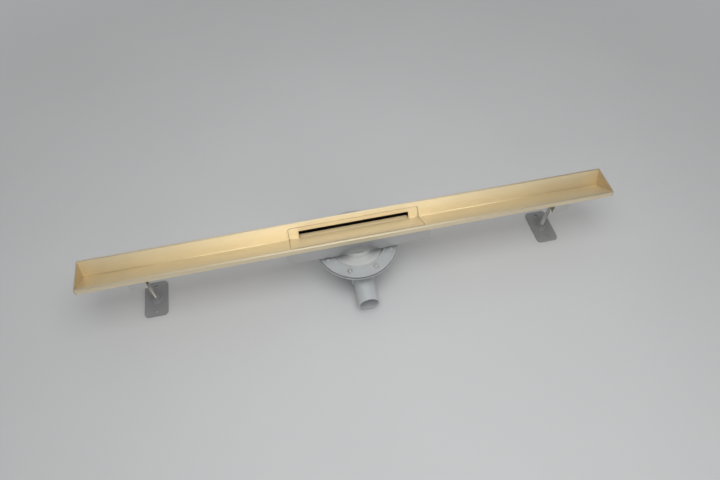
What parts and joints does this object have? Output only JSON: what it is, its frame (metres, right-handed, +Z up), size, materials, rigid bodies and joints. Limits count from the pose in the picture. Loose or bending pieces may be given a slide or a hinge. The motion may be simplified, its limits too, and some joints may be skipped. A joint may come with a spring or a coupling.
{
  "type": "linear shower drain",
  "caption": "Wall-side linear shower drain: a folded V-shaped channel with a flush slotted cover, over an outlet tray, a water-seal trap with a clamping flange, and support feet.",
  "frame": {"origin": "centre of the trap body's base, on the plane that the body and the feet stand on", "axes": "+X along the channel; +Y towards the wall, away from the outlet pipe; +Z up"},
  "size_m": [1, 0.1905, 0.1264],
  "materials": {
    "gold": "brushed along the length, pale gold coating",
    "steel": "plain stainless steel, satin",
    "zinc": "zinc plated",
    "body_plastic": "moulded, fine texture",
    "insert_plastic": "moulded, smooth",
    "foot_plastic": "moulded, fine texture",
    "seal_rubber": "moulded rubber"
  },
  "bodies": {
    "root": {"channel": "gold", "left_end_cap": "gold", "right_end_cap": "gold", "cover": "gold", "outlet_tray": "steel", "clamp_screws": "steel", "left_support": "zinc", "right_support": "zinc", "leg_studs": "zinc", "leg_nuts": "zinc", "trap_body": "body_plastic", "clamp_ring": "body_plastic", "hair_strainer": "insert_plastic", "dip_tube": "insert_plastic", "trap_cup": "insert_plastic", "left_foot": "foot_plastic", "right_foot": "foot_plastic", "cover_buffers": "seal_rubber", "spigot_seal": "seal_rubber", "dip_tube_o_ring": "seal_rubber", "flange_gasket": "seal_rubber"}
  },
  "joints": []
}
